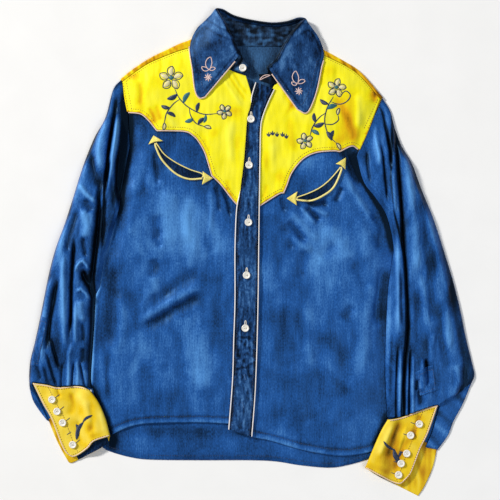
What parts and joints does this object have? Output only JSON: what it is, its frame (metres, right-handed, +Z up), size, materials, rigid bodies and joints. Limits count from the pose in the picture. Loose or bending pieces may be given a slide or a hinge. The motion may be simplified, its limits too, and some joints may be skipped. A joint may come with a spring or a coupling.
{
  "type": "western shirt",
  "caption": "Long-sleeved satin western shirt lying flat, with contrast shaped yokes and cuffs, piped smile pockets and a point collar.",
  "frame": {"origin": "on the surface it lies on, under the middle of its outline", "axes": "+Z up from the surface, +Y towards the collar, +X towards the wearer's left sleeve"},
  "size_m": [0.7114, 0.7782, 0.0218],
  "materials": {
    "blue_satin": "soft satin sheen, slightly faded",
    "navy_satin": "soft satin sheen",
    "yellow_satin": "soft satin sheen",
    "peach_piping": "matt cord",
    "arrowhead_stitching": "close satin stitch",
    "pearly_plastic": "pearly gloss"
  },
  "bodies": {
    "root": {"back_panel": "blue_satin", "back_yoke": "yellow_satin", "back_yoke_lining": "blue_satin", "button_collar": "pearly_plastic", "button_cuff_left_1": "pearly_plastic", "button_cuff_left_2": "pearly_plastic", "button_cuff_left_3": "pearly_plastic", "button_cuff_left_4": "pearly_plastic", "button_cuff_left_5": "pearly_plastic", "button_cuff_right_1": "pearly_plastic", "button_cuff_right_2": "pearly_plastic", "button_cuff_right_3": "pearly_plastic", "button_cuff_right_4": "pearly_plastic", "button_front_1": "pearly_plastic", "button_front_2": "pearly_plastic", "button_front_3": "pearly_plastic", "button_front_4": "pearly_plastic", "button_front_5": "pearly_plastic", "collar_leaf": "navy_satin", "collar_stand": "blue_satin", "cuff_left": "yellow_satin", "cuff_right": "yellow_satin", "front_left": "blue_satin", "front_right": "blue_satin", "piping_band_free": "peach_piping", "piping_band_sewn": "peach_piping", "piping_collar_left": "peach_piping", "piping_collar_right": "peach_piping", "piping_cuff_left": "peach_piping", "piping_cuff_right": "peach_piping", "piping_yoke_left": "peach_piping", "piping_yoke_right": "peach_piping", "placket_band": "navy_satin", "pocket_left_arrow_inner": "arrowhead_stitching", "pocket_left_arrow_outer": "arrowhead_stitching", "pocket_left_lower": "arrowhead_stitching", "pocket_left_upper": "arrowhead_stitching", "pocket_left_welt": "navy_satin", "pocket_right_arrow_inner": "arrowhead_stitching", "pocket_right_arrow_outer": "arrowhead_stitching", "pocket_right_lower": "arrowhead_stitching", "pocket_right_upper": "arrowhead_stitching", "pocket_right_welt": "navy_satin", "sleeve_left": "blue_satin", "sleeve_placket_left": "blue_satin", "sleeve_placket_right": "blue_satin", "sleeve_right": "blue_satin", "yoke_front_left": "yellow_satin", "yoke_front_right": "yellow_satin"}
  },
  "joints": []
}
